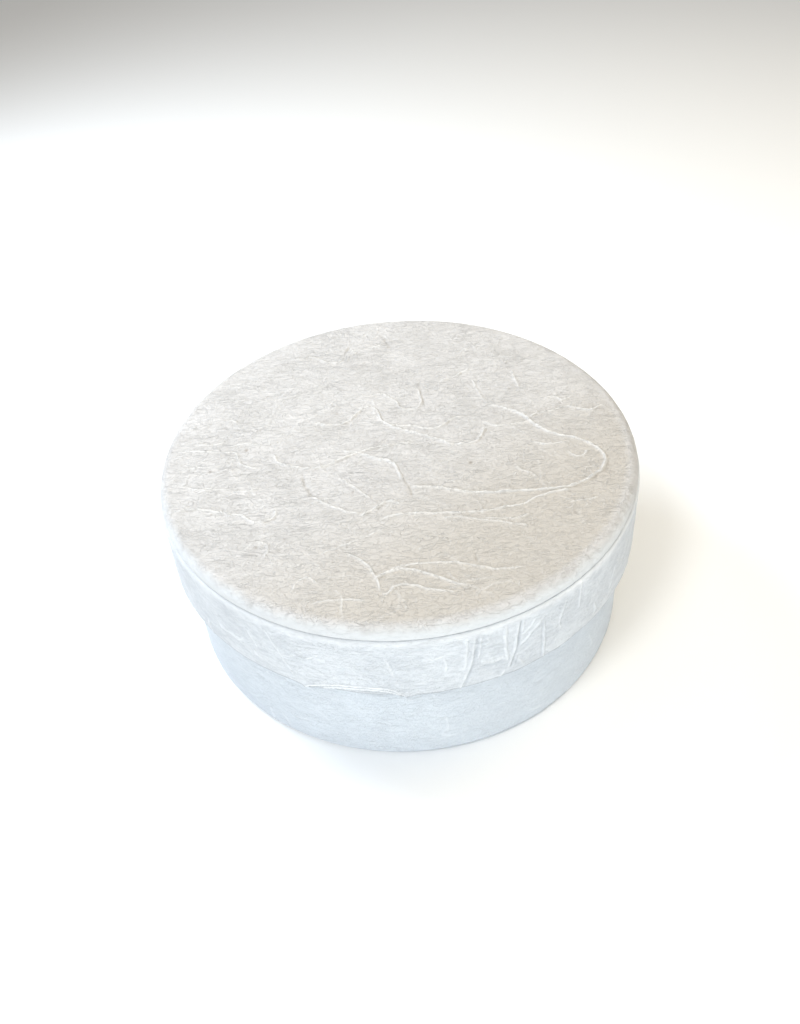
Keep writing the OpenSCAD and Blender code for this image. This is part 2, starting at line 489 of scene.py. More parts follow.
# Raises field to a soft ridge along the route; the ends fade out
def layStrand(field, u, v, route, width, rise, period=None):
    for shift in ((-period, 0, period) if period else (0,)):
        moved = route + (shift, 0)
        reach = 2.3 * width
        low = moved.min(axis=0) - reach
        high = moved.max(axis=0) + reach
        index = np.nonzero((u > low[0]) & (u < high[0]) & (v > low[1]) & (v < high[1]))[0]
        if not len(index):
            continue
        pu = u[index]
        pv = v[index]
        nearest = np.full(len(index), 1e9)
        along = np.zeros(len(index))
        steps = np.diff(moved, axis=0)
        lengths = np.hypot(steps[:, 0], steps[:, 1])
        start = lengthAlong(moved)
        for k in range(len(steps)):
            box = (np.abs(pu - moved[k, 0]) < reach + lengths[k]) \
                & (np.abs(pv - moved[k, 1]) < reach + lengths[k])
            near = np.nonzero(box)[0]
            if not len(near):
                continue
            du = pu[near] - moved[k, 0]
            dv = pv[near] - moved[k, 1]
            t = (du * steps[k, 0] + dv * steps[k, 1]) / max(lengths[k] ** 2, 1e-9)
            t = np.clip(t, 0, 1)
            gap = (du - t * steps[k, 0]) ** 2 + (dv - t * steps[k, 1]) ** 2
            closer = gap < nearest[near]
            nearest[near[closer]] = gap[closer]
            along[near[closer]] = start[k] + t[closer] * lengths[k]
        fade = np.clip(np.minimum(along, start[-1] - along) / (4 * width) + 0.15, 0, 1)
        lump = int(abs(route).sum() * 7) % 9973
        swell = 1 + 0.42 * softNoise(along, along * 0, 1.1, lump) \
            + 0.2 * softNoise(along, along * 0, 0.45, lump + 1)
        ridge = rise * fade * swell * np.exp(-nearest / width ** 2)
        field[index] = np.maximum(field[index], ridge)


# Swell, cockles and pulp of a glued paper: each has a cell, a height and how u and v are drawn out
def paperSwell(u, v, look, period=None):
    height = np.zeros(len(u))
    for k, (cell, rise, drawU, drawV) in enumerate(look["swells"], 1):
        height += rise * softNoise(u * drawU, v * drawV, cell, look["seed"] + k, period)
    return height


# A hair that wanders as it runs, mostly along the felt
def wanderingRoute(rng, length, heading, curl):
    count = max(3, int(length / 0.8))
    turns = np.cumsum(rng.normal(0, curl, count))
    angles = heading + turns
    steps = np.column_stack([np.cos(angles), np.sin(angles)]) * (length / count)
    route = np.vstack([[0, 0], np.cumsum(steps, axis=0)])
    return route - route.mean(axis=0)


def scatterHairs(field, u, v, look, rng, period=None):
    low = (u.min(), v.min())
    high = (u.max(), v.max())
    for _ in range(look["count"]):
        length = rng.uniform(*look["length"])
        heading = rng.normal(0, look["spread"])
        route = wanderingRoute(rng, length, heading, look["curl"])
        route = route + rng.uniform(low, high)
        width = rng.uniform(*look["width"])
        layStrand(field, u, v, route, width, rng.uniform(*look["rise"]), period)


# Mesh building

# A grid of quads between rows of equal length; rows close on themselves
def ringFaces(first, count, rows):
    faces = []
    for r in range(rows - 1):
        a = first + r * count
        for c in range(count):
            d = (c + 1) % count
            faces.append((a + c, a + d, a + count + d, a + count + c))
    return faces


# Faces of a wall whose last ring joins its first
def closedWall(count, rows):
    last = (rows - 1) * count
    faces = ringFaces(0, count, rows)
    faces += [(last + c, last + (c + 1) % count, (c + 1) % count, c) for c in range(count)]
    return [tuple(reversed(f)) for f in faces]


def ringAngles(count):
    return np.linspace(-math.pi, math.pi, count, endpoint=False)


# Points of one ring round the box
def ring(radius, angles, level):
    return np.column_stack([radius * np.cos(angles), radius * np.sin(angles),
                            np.broadcast_to(level, angles.shape)])


def addPiece(name, points, faces, finish, body, replaced, marks=None):
    mesh = bpy.data.meshes.new(name)
    mesh.from_pydata((np.asarray(points) * mm).tolist(), [], faces)
    mesh.validate()
    mesh.update()
    for markName, values in (marks or {}).items():
        layer = mesh.attributes.new(markName, "FLOAT", "POINT")
        padded = np.zeros(len(points), np.float32)
        padded[:len(values)] = values
        layer.data.foreach_set("value", padded)
    mesh.polygons.foreach_set("use_smooth", [True] * len(mesh.polygons))
    piece = bpy.data.objects.new(name, mesh)
    piece.data.materials.append(finishes[finish])
    bpy.context.scene.collection.objects.link(piece)
    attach(piece, body)
    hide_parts(*replaced)
    print(name, "has", len(mesh.polygons), "faces")
    return piece


# Points of a section's rounded corner, from one direction to another about a centre
def corner(centre, radius, start, end, count):
    angles = np.radians(np.linspace(start, end, count))
    return [(centre[0] + radius * math.cos(a), centre[1] + radius * math.sin(a)) for a in angles]


# Outward normals of an open section given from its top inwards to its bottom
def sectionNormals(section):
    p = np.array(section)
    t = np.gradient(p, axis=0)
    n = np.column_stack([-t[:, 1], t[:, 0]])
    return n / np.hypot(n[:, 0], n[:, 1])[:, None]


# The lid's top sheet

topSheet = {
    "grid": 384,             # vertices along each side of the disc's grid
    "edgeRound": 1.9,        # rolls the sheet over the board's edge
    "seamRound": 0.35,
    "turnUnder": 7.0,
    "boardCorner": (1.4, 0.4),
    "swells": [(20.0, 0.10, 1, 1), (5.0, 0.065, 1, 1.7), (1.3, 0.045, 0.6, 1.6),
               (0.65, 0.027, 0.6, 1.6)],
    "gathers": 0.035,        # height of the puckers where the sheet turns over the edge
    "gathersFrom": (40.5, 3.0),      # radius they start at and the run they grow over
    "slim": 0.56,            # strand widths and heights are scaled by these
    "tall": 1.6,
    "dipAndShadow": (0.09, 0.27),    # the dip and painted shadow behind a strand lie this far off it
    "rubbed": (42.6, 44.4),  # radii between which the relief is rubbed down
    "whitened": (43.9, 46.0),
    "warmShadeRun": (0.7, 40),   # slant and reach of the painted warm shade that grows towards the front
    "seed": 11,
}

# Long strands laid in the sheet: width, height, then the points they pass
topStrands = [
    (0.42, 0.26, [(2.5, -11.3), (6, -12), (10, -13.2), (13, -14.3), (18, -14.8), (24, -15),
        (29, -14.9), (33.5, -13.6), (36.5, -11.6), (38.2, -9), (38.4, -6.2), (36.6, -3.2),
        (34, -1.2), (31, 0.2), (28.6, 2.2), (26.8, 4.6), (24.5, 7.6), (21.8, 9.7), (19.3, 11)]),
    (0.32, 0.10, [(19.3, 11), (18, 13.5), (17.2, 17), (16.8, 20)]),
    (0.40, 0.20, [(-3.5, -19.2), (0, -18.6), (6, -18.9), (12, -19.4), (18, -18.9), (22, -18.2),
        (24.5, -16.9), (27.5, -16), (31, -15.3)]),
    (0.34, 0.12, [(7, -20.3), (10, -20.4), (13, -21.3), (17, -22.3), (22, -24)]),
    (0.38, 0.22, [(-10.5, 0.4), (-8, -0.4), (-5, -2), (-2.2, -3.5), (-0.7, -4.6), (0, -7),
        (0.6, -9)]),
    (0.38, 0.20, [(-23.6, 0.8), (-22.6, -1.6), (-20, -3), (-16.2, -3.9), (-13, -3.2), (-9.5, -1.4),
        (-6.2, 0.1), (-3, 0.7), (3, 1.6)]),
    (0.36, 0.20, [(-41.3, -13.2), (-40.5, -12.8), (-38, -12.9), (-35, -13.6), (-31.5, -14.7),
        (-29.3, -15.3), (-27.4, -17.1), (-25.6, -17.7), (-23.8, -17.2), (-23, -16.2),
        (-22.8, -14.8)]),
    (0.32, 0.12, [(-42, -6), (-38, -7.3), (-34.5, -7.7), (-31, -8.3)]),
    (0.32, 0.12, [(-30.8, -8.9), (-28.5, -9), (-26, -8.4)]),
    (0.34, 0.12, [(-42.5, 4), (-38, 3.7), (-34, 2.9), (-31, 2.3), (-30.3, -0.5), (-28.3, -2),
        (-26.5, -2.6)]),
    (0.40, 0.14, [(-32, 4.3), (-30.3, 5), (-28.3, 4.8), (-26.5, 4)]),
    (0.36, 0.17, [(-16, 9.7), (-13.5, 8.8), (-11, 8.6), (-9.6, 9.2), (-8, 11), (-6.4, 13),
        (-5, 13.4), (-3.7, 12.6), (-3.1, 10.6), (-2.4, 8.7), (-1, 7.2), (1.5, 6.6), (4, 6.3),
        (6, 5.2), (8, 5.1), (9.7, 6), (11, 7.4), (13.2, 8.2)]),
    (0.38, 0.20, [(-1.8, 7.6), (0.5, 5.9), (3, 4.5), (5.5, 3.3), (8, 1.7), (10.3, 0.1), (13, -0.5),
        (15.2, 0.2), (16.6, 2), (17.4, 4)]),
    (0.34, 0.15, [(17.4, 5.8), (20, 4.2), (24, 4.6), (26.2, 5.1)]),
    (0.36, 0.17, [(26.5, 6.3), (28, 7), (31, 7.5), (34.4, 8.6), (37, 7.3), (39, 6.8), (41.2, 8.4)]),
    (0.34, 0.11, [(-6.3, 17.3), (-5, 16.9), (-3.4, 17.5), (-1.8, 17.2), (-0.5, 15.8), (0.5, 14.6),
        (1.2, 12.8), (3, 11.5), (5, 12), (5.7, 14), (5.5, 18)]),
    (0.36, 0.13, [(10, 20.2), (12, 21), (14, 22.1), (16.6, 24)]),
    (0.42, 0.22, [(-5.6, -34), (-3.5, -32.6), (-1, -32), (1.5, -32.6), (4.5, -34), (7.5, -35.8),
        (9.8, -36.7)]),
    (0.34, 0.14, [(-3, -31.8), (2, -31.1), (7, -31.2), (10, -31.8), (13, -33), (15.5, -33.7),
        (19.5, -33.6)]),
    (0.38, 0.18, [(-4, -37.6), (-2.6, -36.3), (-1, -35.6), (1, -35.8), (3.4, -36.9), (7.5, -38)]),
    (0.34, 0.15, [(-16.2, -12), (-14.5, -13.4), (-12.7, -14.8), (-11.2, -15.9), (-9.8, -16.7),
        (-7.6, -17.4)]),
    (0.38, 0.20, [(-7.4, -18), (-5.8, -17), (-4.2, -16), (-3, -15.1), (-1.4, -14.9), (0, -15.8)]),
    (0.30, 0.12, [(-11.2, -7.3), (-9, -9.8), (-7, -12), (-5.2, -14)]),
    (0.30, 0.10, [(-14.5, -26.7), (-12, -25.6), (-9.8, -25), (-7, -23.7), (-5, -22.7),
        (-3, -21.6)]),
    (0.34, 0.12, [(-10, -27.3), (-7.8, -29), (-6.2, -31), (-5.2, -33.6), (-4.6, -36.4)]),
    (0.36, 0.15, [(26, -1.2), (28.2, -2.4), (30.2, -2.6), (32, -2.3)]),
    (0.36, 0.15, [(32, -5), (33.3, -6.5), (35, -6.3), (35.8, -5)]),
    (0.34, 0.14, [(21.8, -7.8), (23, -9.3), (24.3, -10.3), (25.4, -11.6)]),
    (0.34, 0.14, [(-20.5, 32.6), (-17, 32.7), (-15.2, 32), (-13.6, 30.5), (-11.5, 30.1),
        (-9.9, 31.2)]),
    (0.40, 0.14, [(-8.6, 33.6), (-5, 34.3), (-1.4, 35.3)]),
    (0.34, 0.12, [(30.4, 11.7), (32, 12.1), (34, 10.9), (36, 12)]),
    (0.36, 0.14, [(25.2, 22), (25.4, 19), (25.8, 16)]),
    (0.40, 0.16, [(-33.2, 13), (-32.3, 12.5), (-31.3, 11.6)]),
    (0.34, 0.12, [(-39, 5.9), (-36.5, 5.5), (-33.5, 5.8)]),
    (0.30, 0.10, [(-28, -24.4), (-26.5, -22.8), (-24.5, -23), (-23.7, -25), (-25, -27)]),
    (0.30, 0.10, [(-19.5, -35), (-18.5, -32.8), (-16.6, -32), (-15, -33.6)]),
    (0.32, 0.12, [(-16, -38), (-12.5, -37.6), (-9.5, -38), (-7, -38.4)]),
    (0.30, 0.10, [(30, -18.9), (32.5, -18.4), (35.5, -18.2)]),
    (0.32, 0.12, [(14.5, -21.2), (19, -21.8), (22.5, -21.2)]),
    (0.30, 0.10, [(-41, -1.2), (-38, -1), (-35.5, -1.4), (-33.5, -0.6)]),
]

# Short creases pressed into the sheet: width, depth, points
topCreases = [
    (0.26, 0.14, [(1, -9), (1.7, -11.5), (2.3, -14.2)]),
    (0.26, 0.16, [(-18.1, -4.8), (-17.8, -7.3), (-17.1, -9.8), (-16.1, -12.2)]),
    (0.24, 0.16, [(11.8, -29.8), (12, -31.9)]),
    (0.30, 0.14, [(-9.6, 32.4), (-8.9, 34.4), (-8, 36)]),
    (0.28, 0.12, [(-2.6, 39.8), (-0.9, 38.4), (-0.4, 36), (0.5, 33.8)]),
    (0.24, 0.09, [(5.6, 20.5), (6, 16), (6.1, 12.2)]),
]

# Flecks of bark: radius, then where
topFlecks = [
    (0.34, (-29.2, 3)), (0.30, (-35.8, -2.6)), (0.32, (13.6, -6)), (0.20, (21.5, -6.6)),
    (0.26, (-26, -24)), (0.22, (-21, -22.4)), (0.24, (-34.6, -14.6)), (0.22, (-5.4, 29)),
    (0.24, (-11.5, 12.3)), (0.22, (-4.6, -10.7)), (0.22, (-8.8, -11.9)), (0.26, (30.4, -21.6)),
    (0.24, (-25.7, 19.8)), (0.18, (15.9, -8.5)), (0.24, (23.7, 15.8)), (0.2, (0.6, -41.3)),
]

topHairs = [
    {"count": 1000, "length": (1.5, 5), "spread": 0.5, "curl": 0.14, "width": (0.15, 0.22),
     "rise": (0.008, 0.024)},
    {"count": 500, "length": (0.8, 2.6), "spread": 1.8, "curl": 0.3, "width": (0.15, 0.20),
     "rise": (0.008, 0.024)},
    {"count": 90, "length": (3, 11), "spread": 0.9, "curl": 0.24, "width": (0.14, 0.19),
     "rise": (0.05, 0.11)},
]


# Square grid wrapped evenly onto a unit disc, with its rim's vertices in order
def discGrid(n):
    a, b = np.meshgrid(np.linspace(-1, 1, n), np.linspace(-1, 1, n), indexing="ij")
    wide = np.abs(a) > np.abs(b)
    safeA = np.where(a == 0, 1e-9, a)
    safeB = np.where(b == 0, 1e-9, b)
    r = np.where(wide, a, b)
    angle = np.where(wide, math.pi / 4 * b / safeA, math.pi / 2 - math.pi / 4 * a / safeB)
    x = r * np.cos(angle)
    y = r * np.sin(angle)
    index = np.arange(n * n).reshape(n, n)
    faces = [(int(index[i, j]), int(index[i + 1, j]), int(index[i + 1, j + 1]),
              int(index[i, j + 1])) for i in range(n - 1) for j in range(n - 1)]
    rim = np.concatenate([index[-1, :], index[-2::-1, -1], index[0, -2::-1], index[1:-1, 0]])
    return x.ravel(), y.ravel(), faces, rim


def topRelief(u, v, look):
    rng = np.random.default_rng(look["seed"])
    r = np.hypot(u, v)
    strand = np.zeros(len(u))
    dipAndShadow = np.zeros(len(u))
    crease = np.zeros(len(u))
    hair = np.zeros(len(u))
    speck = np.zeros(len(u))
    for width, rise, points in topStrands:
        route = smoothRoute(points)
        width = width * look["slim"]
        layStrand(strand, u, v, route, width, rise * look["tall"])
        layStrand(dipAndShadow, u - look["dipAndShadow"][0], v - look["dipAndShadow"][1], route, width * 0.8,
                  rise * look["tall"])
    dipAndShadow = np.clip(dipAndShadow - strand, 0, None)       # the sheet dips just behind a strand, and painted shadow lies there too
    for width, depth, points in topCreases:
        layStrand(crease, u, v, smoothRoute(points), width, depth)
    for hairs in topHairs:
        scatterHairs(hair, u, v, hairs, rng)
    for radius, (x, y) in topFlecks:
        gap = np.hypot(u - x, (v - y) * 0.8) / radius
        speck = np.maximum(speck, (radius * 2.4 - 0.25) * np.clip(1.5 - gap, 0, 1))
    seed = look["seed"]
    height = paperSwell(u, v, look)
    # puckers run out over the edge where the sheet is gathered round it
    around = np.arctan2(v, u)
    arc = around * lidRadius
    turn = 2 * math.pi * lidRadius
    start, reach = look["gathersFrom"]
    pleat = softNoise(arc, r * 0.25, 1.3, seed + 5, turn)
    pleat += 0.6 * softNoise(arc, r * 0.3, 0.7, seed + 6, turn)
    height += look["gathers"] * np.clip((r - start) / reach, 0, 1) * pleat
    rubbed = ease(r, *look["rubbed"])
    height *= 1 - 0.6 * rubbed
    height += strand * (1 - 0.6 * rubbed) + hair * (1 - rubbed) - crease - 0.5 * dipAndShadow
    ragged = softNoise(arc, r * 0.3, 0.8, seed + 7, turn)
    ragged += softNoise(arc, r * 0.2, 2.6, seed + 8, turn)
    seam = seamRun(look) - r
    slant, reach = look["warmShadeRun"]
    frontHighlight = 0.12 + 0.88 * ease(-np.sin(around + 0.1), 0.02, 0.6)      # painted highlight, strongest at the front where the lamps fall
    marks = {
        # lighter strands and hairs, partly painted highlight on the strand ridges
        "strand": np.clip(strand / 0.19 + hair / 0.20, 0, 1) * (1 - rubbed),
        # painted highlight where the sheet turns over the edge
        "rim": frontHighlight * ease(r + 0.35 * ragged, *look["whitened"]),
        # painted warm shade towards the front right
        "warmShade": ease(slant * u - v, 0, reach) * (1 - rubbed),
        # painted shadow behind strands, painted shade in the creases and along the seam
        "shade": np.clip(dipAndShadow * 1.4 + crease * 2.8 + 0.42 * (1 - ease(seam, 0.1, 0.5)), 0, 0.6),
        "speck": speck,
    }
    return height, marks


# The sheet's edge from the flat, over the board and down into the seam
def topEdge(look):
    roll = look["edgeRound"]
    edge = corner((topRadius - roll, boxTop - roll), roll, 90, 0, 14)
    return edge + corner((topRadius - look["seamRound"], seamHeight + look["seamRound"]),
                         look["seamRound"], 0, -90, 6)


# Distance of the seam from the sheet's middle, measured over the sheet
def seamRun(look):
    edge = topEdge(look)
    return edge[0][0] + lengthAlong(edge)[-1]


def buildTopSheet(look):
    outer = topEdge(look)
    flat = outer[0][0]
    x, y, faces, rim = discGrid(look["grid"])
    x = x * flat
    y = y * flat
    count = len(rim)
    angles = np.arctan2(y[rim], x[rim])
    run = lengthAlong(outer)
    normals = sectionNormals(outer)
    u = np.concatenate([x, *[(flat + s) * np.cos(angles) for s in run[1:]]])
    v = np.concatenate([y, *[(flat + s) * np.sin(angles) for s in run[1:]]])
    height, marks = topRelief(u, v, look)
    points = [np.column_stack([x, y, boxTop + height[:len(x)]])]
    for k in range(1, len(outer)):
        part = height[len(x) + (k - 1) * count:len(x) + k * count]
        # the relief dies away where the sheet tucks into the seam
        part = part * min(1, (run[-1] - run[k]) / 0.8)
        points.append(ring(outer[k][0] + normals[k][0] * part, angles,
                           outer[k][1] + normals[k][1] * part))
    # turned under the board, then back over its hidden side
    t = paperThickness
    board = topRadius - t
    turned = lidRadius - look["turnUnder"]
    bevel, nick = look["boardCorner"]
    inner = [(turned, seamHeight), (turned, seamHeight + t),
             (board - 0.3, seamHeight + t), (board, seamHeight + t + 0.3),
             (board, boxTop - t - bevel), (board - nick, boxTop - t - nick),
             (board - bevel, boxTop - t)]
    points += [ring(radius, angles, level) for radius, level in inner]
    points = np.vstack(points + [[[0, 0, boxTop - t]]])
    rows = len(outer) - 1 + len(inner)
    first = len(x)
    for c in range(count):
        d = (c + 1) % count
        faces.append((int(rim[c]), first + c, first + d, int(rim[d])))
    faces += [tuple(reversed(f)) for f in ringFaces(first, count, rows)]
    last = first + (rows - 1) * count
    centre = len(points) - 1
    faces += [(last + c, centre, last + (c + 1) % count) for c in range(count)]
    return addPiece("lid_top_paper", points, faces, "topPaper", "lid", ["lid_top_sheet"],
                    marks)


buildTopSheet(topSheet)


# The lid's skirt paper

skirtWrap = {
    "columns": 1400,
    "rows": 70,
    "shoulder": 0.8,         # rolls in to the seam
    "foot": 21.0,            # height of the skirt paper's lower edge
    "footSwing": 0.16,
    "footRound": 0.25,
    "flare": (29, 8, 0.14),  # starts at this height, over this run, by this much
    "swells": [(26.0, 0.10, 1, 1), (4.5, 0.075, 1, 1), (1.2, 0.030, 1, 1.2),
               (0.6, 0.021, 1, 1.2)],
    "shoulderHighlight": 0.42,            # painted highlight along the shoulder
    "turnIn": 7.0,
    "slim": 0.56,
    "tall": 1.1,
    "seed": 23,
}

# Paper layers that end in an arch above the foot, at the front: how far the paper is set back
# below the arch, how far its lip curls out, then points as angle round the box and height
skirtArches = [
    (0.16, 0.24, [(-115.0, 20.3), (-113.0, 21.3), (-110.5, 22.1), (-106.5, 22.9), (-102, 23.25),
        (-97.5, 23.15), (-95, 22.6), (-93, 21.3), (-91.9, 20.4)]),
    (0.20, 0.22, [(-115.4, 19.6), (-112.4, 20.6), (-108.4, 21.6), (-104, 22.25), (-99, 22.4),
        (-96, 22.0), (-94, 21.2), (-92, 20.0)]),
]

# Folds of the skirt paper: width, height, then points as angle round the box and height
skirtFolds = [
    (0.42, 0.16, [(-79, 34), (-79.2, 31), (-79.3, 28), (-79.8, 26)]),
    (0.30, 0.16, [(-77.3, 33.6), (-77.6, 31), (-78, 28), (-78.6, 26), (-79.6, 23.8), (-80.4, 22),
        (-80.7, 21)]),
    (0.24, 0.12, [(-76, 33.4), (-76.2, 30.6), (-76.7, 28)]),
    (0.44, 0.18, [(-70.4, 34), (-70.6, 31), (-70.3, 28), (-70, 25)]),
    (0.30, 0.18, [(-67.5, 33.6), (-67.9, 30.6), (-68.2, 27.4), (-69, 25.4), (-69.8, 23)]),
    (0.24, 0.12, [(-66.2, 33.4), (-66.6, 30.8)]),
    (0.34, 0.20, [(-66.8, 27.6), (-65.2, 29), (-63.2, 30.7), (-61.4, 32)]),
    (0.30, 0.15, [(-66.5, 30), (-65, 31.2), (-63.4, 32.8)]),
    (0.26, 0.22, [(-61.2, 31), (-61, 28), (-60.9, 25), (-61, 21.2)]),
    (0.48, 0.22, [(-76.3, 27.1), (-74.6, 26.4), (-72.6, 26), (-70.8, 26.4)]),
    (0.44, 0.16, [(-72.6, 21.2), (-71.4, 21.8), (-70.6, 22.8)]),
    (0.34, 0.10, [(-84, 30), (-83.4, 28), (-83.8, 26)]),
    (0.34, 0.10, [(-88, 30.6), (-86, 30), (-83.6, 30.4)]),
    (0.50, 0.20, [(-137.6, 26.6), (-135.4, 26), (-133, 26.2), (-131, 25.9), (-129.6, 26.6)]),
    (0.45, 0.22, [(-142.3, 24.4), (-142, 22.6), (-141, 21.2)]),
    (0.32, 0.13, [(-122.6, 33), (-121.6, 31.2), (-120.4, 29), (-119.2, 27), (-118, 25),
        (-116.8, 23)]),
    (0.30, 0.12, [(-119.4, 27.2), (-117.5, 27.6), (-115.6, 28.4)]),
    (0.34, 0.13, [(-113.4, 28.2), (-111.6, 29.2), (-110, 30.2)]),
    (0.34, 0.13, [(-127.8, 30.2), (-127, 29), (-125.8, 27), (-126.6, 25), (-125.4, 24)]),
    (0.34, 0.12, [(-55.2, 33), (-55.6, 31.5), (-56.8, 28.4), (-56.2, 26)]),
    (0.34, 0.12, [(-50.6, 35), (-50.8, 31), (-50.9, 28)]),
    (0.36, 0.16, [(-45.2, 25.4), (-44.6, 23.6), (-45.6, 22.4)]),
    (0.36, 0.13, [(-38.6, 24), (-37, 26.6), (-36, 28.6)]),
    (0.34, 0.12, [(-96, 31), (-95.2, 28.6), (-94.4, 26.2)]),
]
skirtCreases = [
    (0.17, 0.16, [(-76.5, 33.8), (-76.8, 31), (-77.3, 28), (-77.8, 26), (-78.8, 23.7), (-79.5, 22),
        (-79.8, 21)]),
    (0.17, 0.18, [(-66.8, 34), (-67.2, 30.6), (-67.5, 27.3), (-68.3, 25.7), (-69.1, 22.8)]),
    (0.15, 0.08, [(-67.4, 25), (-67.9, 23.8), (-68.4, 22.5)]),
    (0.17, 0.12, [(-67, 26.9), (-64.2, 28.9), (-61.8, 30.6)]),
    (0.20, 0.10, [(-76, 25.9), (-73.6, 25.4), (-70.8, 25.6)]),
    (0.15, 0.08, [(-61.5, 31), (-61.4, 27), (-61.4, 22)]),
]
skirtHairs = [
    {"count": 620, "length": (1.5, 6), "spread": 0.9, "curl": 0.25, "width": (0.16, 0.26),
     "rise": (0.012, 0.035)},
    {"count": 40, "length": (5, 12), "spread": 0.9, "curl": 0.22, "width": (0.22, 0.32),
     "rise": (0.04, 0.08)},
]


def toRoute(points, radius):
    return [(math.radians(a) * radius, z) for a, z in points]


def wallRelief(u, v, look, folds, creases, hairs, radius):
    rng = np.random.default_rng(look["seed"])
    around = 2 * math.pi * radius
    fold = np.zeros(len(u))
    dipAndShadow = np.zeros(len(u))
    crease = np.zeros(len(u))
    hair = np.zeros(len(u))
    for width, rise, points in folds:
        route = smoothRoute(toRoute(points, radius), 0.06)
        width = width * look["slim"]
        layStrand(fold, u, v, route, width, rise * look["tall"], around)
        # a dip beside each fold, also painted as shadow
        layStrand(dipAndShadow, u - 0.3, v + 0.12, route, width, rise * look["tall"], around)
    dipAndShadow = np.clip(dipAndShadow - fold, 0, None)
    for width, depth, points in creases:
        layStrand(crease, u, v, smoothRoute(toRoute(points, radius), 0.06), width, depth, around)
    for kind in hairs:
        scatterHairs(hair, u, v, kind, rng, around)
    height = paperSwell(u, v, look, around) + (fold + hair - crease - 0.4 * dipAndShadow)
    marks = {
        # lighter hairs, and painted highlight on the fold ridges
        "strand": np.clip(fold / 0.10 + hair / 0.14, 0, 1),
        # painted shadow beside the folds and painted shade in the creases
        "shade": np.clip(dipAndShadow * 0.6 + crease * 2.0, 0, 0.6),
    }
    return height, marks


# Where the skirt's paper ends: the foot, and the arches above it at the front
def skirtEdges(degrees, look):
    u = np.radians(degrees) * lidRadius
    swing = softNoise(u, u * 0, 7.0, look["seed"] + 9, 2 * math.pi * lidRadius)
    foot = look["foot"] + look["footSwing"] * swing
    foot -= 0.8 * np.exp(-((degrees + 114.2) / 2.0) ** 2)
    foot -= 0.5 * np.exp(-((degrees + 91.8) / 1.6) ** 2)
    foot -= 0.25 * ease(degrees, -112, -108) * (1 - ease(degrees, -97, -93))
    return foot, [np.interp(degrees, *zip(*points)) for _, _, points in skirtArches]


def buildSkirt(look):
    count = look["columns"]
    angles = ringAngles(count)
    degrees = np.degrees(angles)
    foot, arches = skirtEdges(degrees, look)
    shoulder = look["shoulder"]
    footRound = look["footRound"]
    top = corner((lidRadius - shoulder, seamHeight - shoulder), shoulder, 90, 0, 6)
    turn = corner((lidRadius - footRound, footRound), footRound, 0, -90, 4)
    sections = [(radius, np.full(count, level)) for radius, level in top[:-1]]
    for t in np.linspace(0, 1, look["rows"]):
        sections.append((lidRadius, top[-1][1] + (foot + footRound - top[-1][1]) * t))
    sections += [(radius, foot + level) for radius, level in turn[1:]]
    wallCount = len(sections)
    u = np.tile(angles * lidRadius, wallCount)
    v = np.concatenate([level for _, level in sections])
    height, marks = wallRelief(u, v, look, skirtFolds, skirtCreases, skirtHairs, lidRadius)
    height = height.reshape(wallCount, count)
    levels = v.reshape(wallCount, count)
    height *= ease(seamHeight - levels, 0.0, 0.9)
    # paper layers: each stands proud above its own edge, with a lip curled a little outward
    inArch = ease(degrees, -115.6, -114.0) * (1 - ease(degrees, -93.2, -91.4))
    # painted shade in the seam groove and along the foot
    dark = 0.4 * (1 - ease(seamHeight - levels, 0.02, 0.20))
    dark = np.maximum(dark, 0.75 * (1 - ease(levels - foot, 0.16, 0.52)))
    lipHighlight = np.zeros_like(levels)
    for edge, (lift, curl, _) in zip(arches, skirtArches):
        above = levels - edge
        lip = curl * np.exp(-np.clip(above, 0, None) / 0.55) * ease(above, -0.12, 0.0)
        height += inArch * ((ease(above, -0.14, 0.0) - 1) * lift + lip)
        # painted highlight along each layer's lip
        lipHighlight = np.maximum(lipHighlight, inArch * np.exp(-((above - 0.10) / 0.21) ** 2))
        # painted shadow under each lip, and a thin painted shade line above its highlight
        dark = np.maximum(dark, 0.6 * inArch * np.exp(-((above + 0.22) / 0.15) ** 2))
        dark = np.maximum(dark, 0.3 * inArch * np.exp(-((above - 0.42) / 0.13) ** 2))
    # a little darker below the inner layer's edge
    dark = np.maximum(dark, 0.10 * inArch * ease(arches[-1] - levels, 0.0, 0.2))
    start, reach, flare = look["flare"]
    height += flare * ease(start - levels, 0, reach)
    points = [ring(radius + height[k], angles, level)
              for k, (radius, level) in enumerate(sections)]
    t = paperThickness
    hidden = [(lidWallRadius - t, foot + 0.1), (lidWallRadius - t, skirtFoot + look["turnIn"]),
              (lidWallRadius, skirtFoot + look["turnIn"]), (lidWallRadius, skirtFoot + t),
              (lidHoopRadius, skirtFoot + t), (lidHoopRadius, seamHeight - t),
              (lidWallRadius, seamHeight - t), (lidWallRadius, seamHeight)]
    points += [ring(radius, angles, level) for radius, level in hidden]
    # painted shade: the folds' and creases' is cleared along the lip highlights, then joined with the
    # seam, foot and lip shade
    marks["shade"] = np.maximum(marks["shade"] * (1 - lipHighlight.ravel()), dark.ravel())
    # painted highlight along the shoulder
    fringe = softNoise(u, v, 1.5, look["seed"] + 10, 2 * math.pi * lidRadius).reshape(levels.shape)
    shoulderHighlight = look["shoulderHighlight"] * ease(levels - seamHeight + 0.5 * fringe, -1.9, -0.3)
    marks["rim"] = np.maximum(lipHighlight, shoulderHighlight).ravel()
    return addPiece("lid_skirt_paper", np.vstack(points), closedWall(count, len(points)),
                    "skirtPaper", "lid", ["lid_skirt_wrap"], marks)


buildSkirt(skirtWrap)


# The tray's wrap

